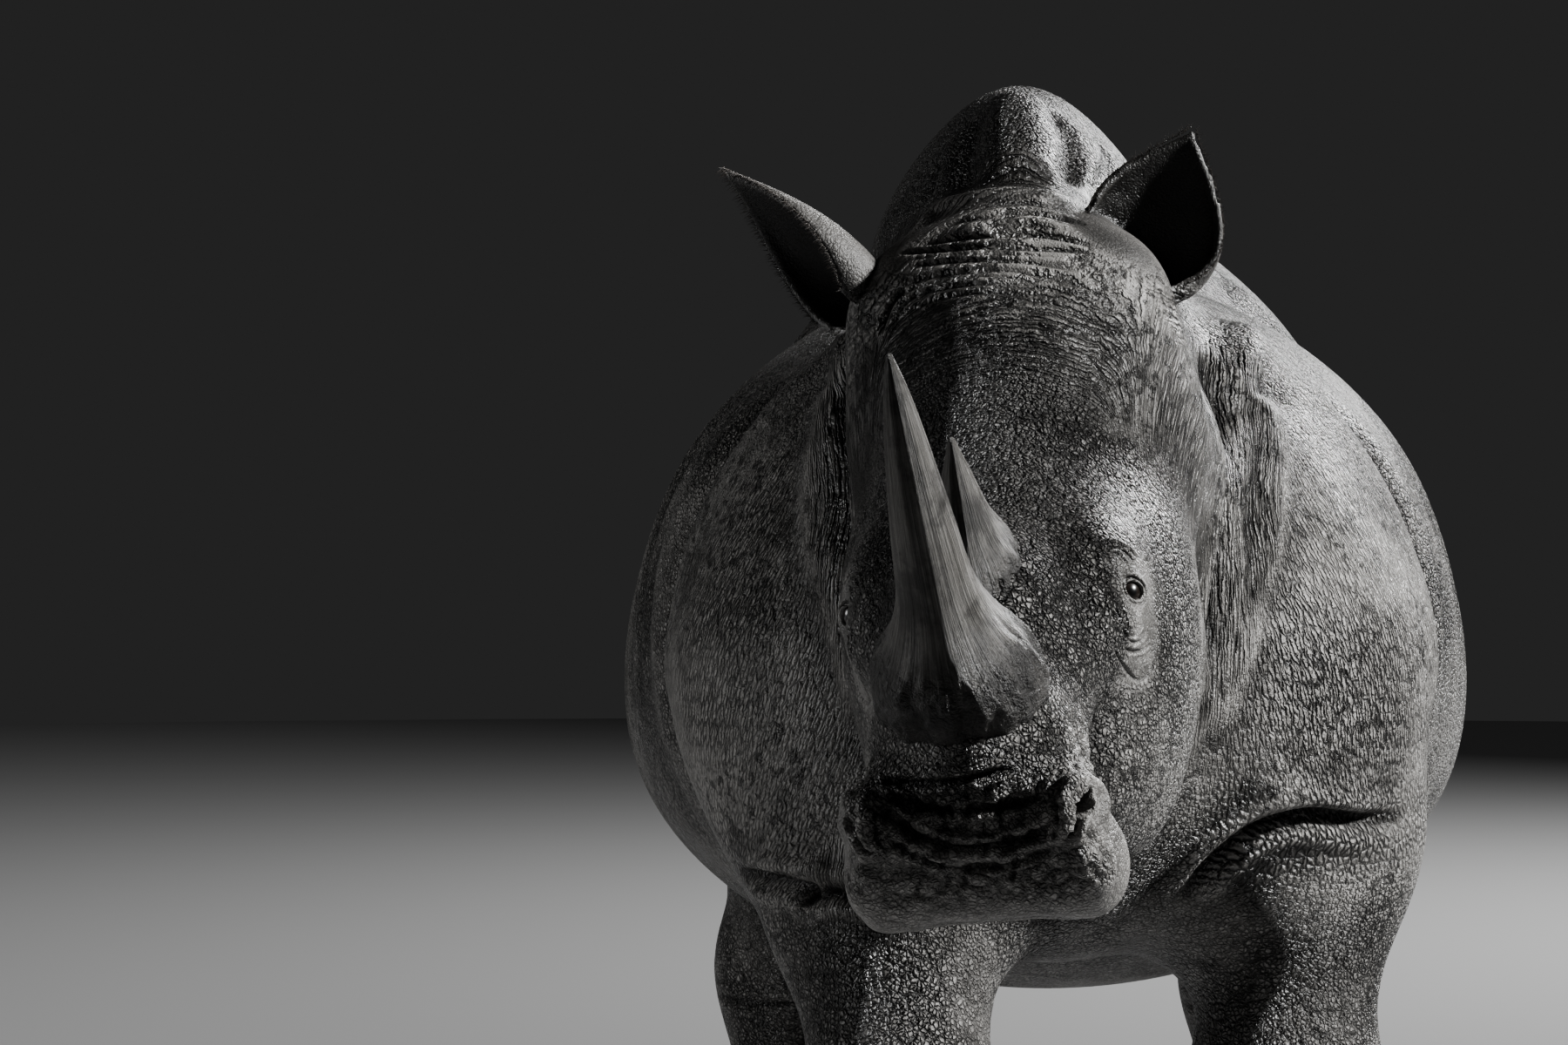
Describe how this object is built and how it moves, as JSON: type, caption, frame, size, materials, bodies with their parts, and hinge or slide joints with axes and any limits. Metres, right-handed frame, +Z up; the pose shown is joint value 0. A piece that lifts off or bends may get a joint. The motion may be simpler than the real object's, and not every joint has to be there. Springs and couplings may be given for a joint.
{
  "type": "white rhinoceros",
  "caption": "Adult white rhinoceros standing with lowered head, long sharp front horn, short rear horn, wide square lips and a humped neck.",
  "frame": {"origin": "on the floor, under the middle of the animal's outline", "axes": "+Z up; the animal faces -Y, its left side is +X"},
  "size_m": [1.173, 3.3125, 1.7416],
  "materials": {
    "hide": "matte",
    "horn": "satin",
    "eye": "gloss",
    "nail": "satin",
    "hair": "matte"
  },
  "bodies": {
    "root": {"trunk": "hide", "neck": "hide", "head": "hide", "lower_jaw": "hide", "ear_left": "hide", "ear_right": "hide", "eye_left": "eye", "eye_right": "eye", "horn_front": "horn", "horn_rear": "horn", "foreleg_left": "hide", "foreleg_right": "hide", "hindleg_left": "hide", "hindleg_right": "hide", "forefoot_left": "hide", "forefoot_right": "hide", "hindfoot_left": "hide", "hindfoot_right": "hide", "nail_fore_left_mid": "nail", "nail_fore_left_outer": "nail", "nail_fore_left_inner": "nail", "nail_fore_right_mid": "nail", "nail_fore_right_outer": "nail", "nail_fore_right_inner": "nail", "nail_hind_left_mid": "nail", "nail_hind_left_outer": "nail", "nail_hind_left_inner": "nail", "nail_hind_right_mid": "nail", "nail_hind_right_outer": "nail", "nail_hind_right_inner": "nail", "tail": "hide", "tail_tuft": "hair"}
  },
  "joints": []
}
